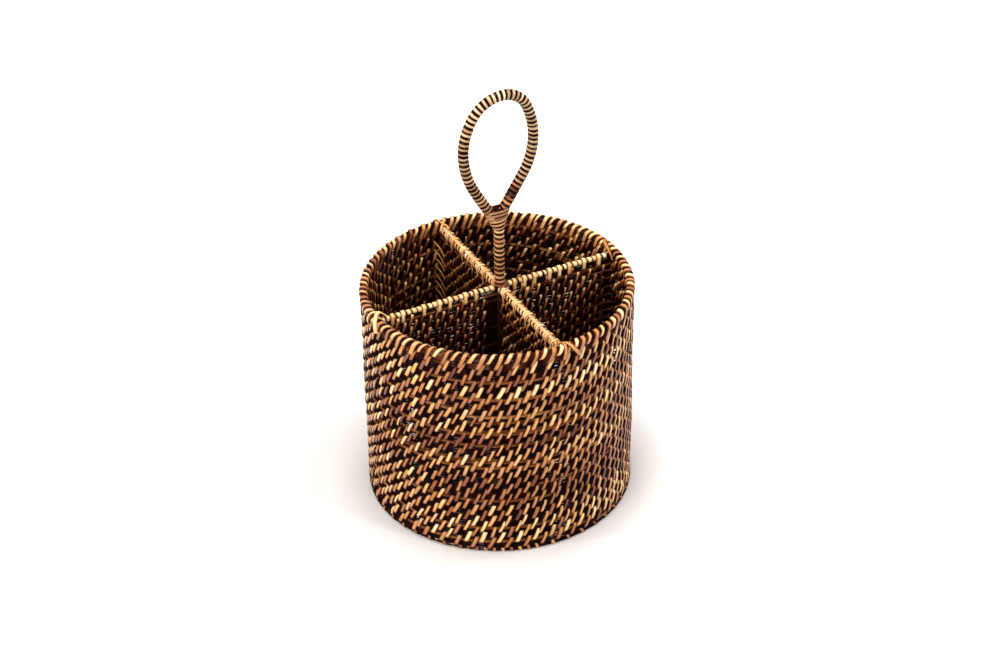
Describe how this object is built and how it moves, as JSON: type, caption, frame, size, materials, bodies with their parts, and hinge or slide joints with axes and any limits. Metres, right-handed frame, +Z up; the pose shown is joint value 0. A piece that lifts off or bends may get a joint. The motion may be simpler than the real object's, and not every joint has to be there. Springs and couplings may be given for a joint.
{
  "type": "cutlery caddy",
  "caption": "Round open caddy of coiled rattan, split into quarters by crossing dividers, with a cane-wrapped post and loop handle.",
  "frame": {"origin": "on the surface below the middle of the floor", "axes": "+Z up, X along the cross divider and the loop's plane, Y along the main divider"},
  "size_m": [0.179, 0.179, 0.2895],
  "materials": {
    "dark_core": "dark stained rattan core, satin varnish",
    "rod": "dark stained rattan rod, satin",
    "cane": "honey brown split cane, satin"
  },
  "bodies": {
    "root": {"floor_coil": "dark_core", "wall_coil_lower": "dark_core", "wall_coil_middle": "dark_core", "wall_coil_upper": "dark_core", "rim_hoop": "rod", "rim_wrap_back_right": "cane", "rim_wrap_back_left": "cane", "rim_wrap_front_left": "cane", "rim_wrap_front_right": "cane", "divider_cores_right": "dark_core", "rail_right": "rod", "rail_wrap_right": "cane", "divider_cores_left": "dark_core", "rail_left": "rod", "rail_wrap_left": "cane", "divider_cores_back": "dark_core", "rail_back": "rod", "rail_wrap_back": "cane", "divider_cores_front": "dark_core", "rail_front": "rod", "rail_wrap_front": "cane", "handle_rod": "rod", "post_wrap": "cane", "neck_binding": "cane", "loop_wrap_left_low": "cane", "loop_wrap_left_high": "cane", "loop_wrap_right_high": "cane", "loop_wrap_right_low": "cane"}
  },
  "joints": []
}
